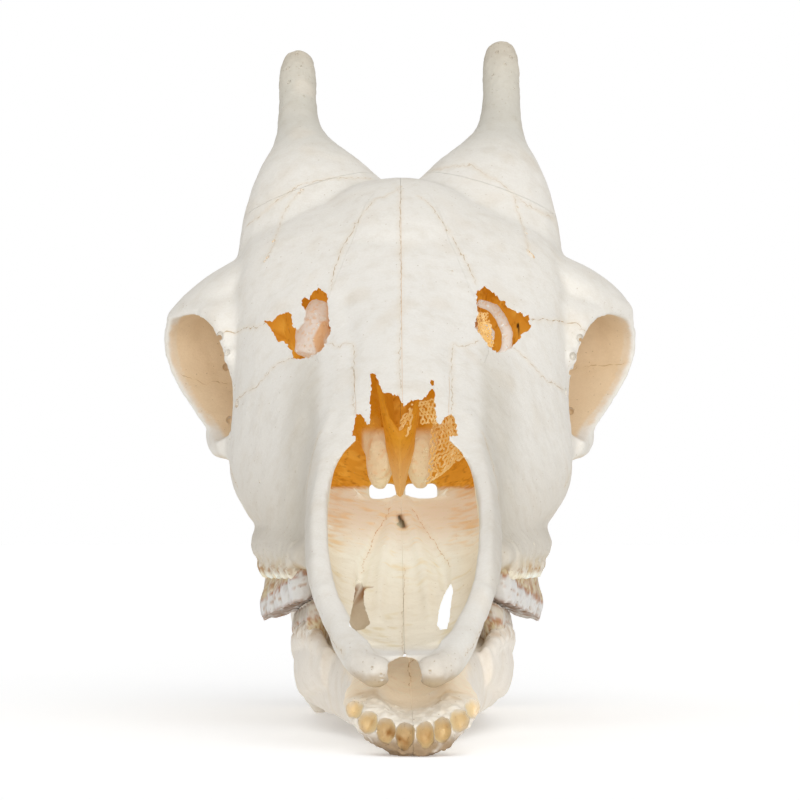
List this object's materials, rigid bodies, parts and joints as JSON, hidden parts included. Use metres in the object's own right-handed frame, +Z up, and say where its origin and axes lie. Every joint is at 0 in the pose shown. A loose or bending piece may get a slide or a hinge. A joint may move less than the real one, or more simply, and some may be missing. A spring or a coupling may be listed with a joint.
{
  "type": "giraffe skull",
  "caption": "Cleaned giraffe skull with ossicones, open nose, orbits and cheek teeth, resting on its lower jaw.",
  "frame": {"origin": "on the floor, under the middle of the skull's outer box", "axes": "+Z up, the snout points to -Y, +X is the skull's own left side"},
  "size_m": [0.264, 0.6067, 0.3878],
  "materials": {
    "frontal_left": "dry bleached bone, matte",
    "frontal_right": "dry bleached bone, matte",
    "braincase": "dry bleached bone, matte",
    "upper_jaw_left": "dry bleached bone, matte",
    "upper_jaw_right": "dry bleached bone, matte",
    "nasal_bone_left": "dry bleached bone, matte",
    "nasal_bone_right": "dry bleached bone, matte",
    "ossicone_left": "dry bleached bone, matte",
    "ossicone_right": "dry bleached bone, matte",
    "vomer": "dry bleached bone, matte",
    "ethmoid_scroll_left": "dry bleached bone, matte",
    "ethmoid_scroll_right": "dry bleached bone, matte",
    "nose_scroll_left": "dry bleached bone, matte",
    "mandible_left": "dry bleached bone, matte",
    "mandible_right": "dry bleached bone, matte"
  },
  "bodies": {
    "root": {"frontal_left": "frontal_left", "frontal_right": "frontal_right", "braincase": "braincase", "upper_jaw_left": "upper_jaw_left", "upper_jaw_right": "upper_jaw_right", "nasal_bone_left": "nasal_bone_left", "nasal_bone_right": "nasal_bone_right", "ossicone_left": "ossicone_left", "ossicone_right": "ossicone_right", "vomer": "vomer", "ethmoid_scroll_left": "ethmoid_scroll_left", "ethmoid_scroll_right": "ethmoid_scroll_right", "nose_scroll_left": "nose_scroll_left", "mandible_left": "mandible_left", "mandible_right": "mandible_right"}
  },
  "joints": []
}
